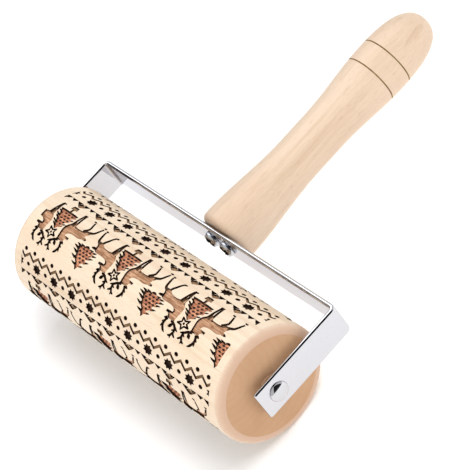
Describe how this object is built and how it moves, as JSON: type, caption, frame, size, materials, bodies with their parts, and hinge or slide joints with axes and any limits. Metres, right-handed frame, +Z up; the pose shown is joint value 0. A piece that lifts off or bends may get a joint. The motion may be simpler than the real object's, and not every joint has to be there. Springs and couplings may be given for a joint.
{
  "type": "embossed rolling pin",
  "caption": "Hand dough roller: an engraved wooden cylinder turns on a steel axle in a flat bent metal yoke, carried by a turned wooden handle that stands square to the roller.",
  "frame": {"origin": "on the table, under the centre of the bounding box of the whole pin as it lies on its roller and the swell of its handle", "axes": "+X along the axle towards its domed head, +Y the way the handle points, +Z up from the table"},
  "size_m": [0.1546, 0.18, 0.0488],
  "materials": {
    "roller_wood": "bare, fine sanded, with burnt brown engraving",
    "handle_wood": "bare, fine sanded, with two burnt ring grooves",
    "yoke_chrome": "polished",
    "axle_steel": "polished",
    "screw_steel": "bright plated",
    "washer_steel": "plain",
    "bushing_nylon": "natural nylon"
  },
  "bodies": {
    "pin": {"yoke": "yoke_chrome", "handle": "handle_wood", "handle_screw_left": "screw_steel", "handle_screw_right": "screw_steel", "axle": "axle_steel", "axle_cap": "axle_steel", "washer_left": "washer_steel", "washer_right": "washer_steel"},
    "roller": {"roller": "roller_wood", "bushing_left": "bushing_nylon", "bushing_right": "bushing_nylon"}
  },
  "joints": [
    {"name": "roller_spin", "type": "hinge", "parent": "pin", "child": "roller", "pos_m": [0.00025, -0.06556, 0.0244], "axis": [1, 0, 0], "continuous": true}
  ]
}
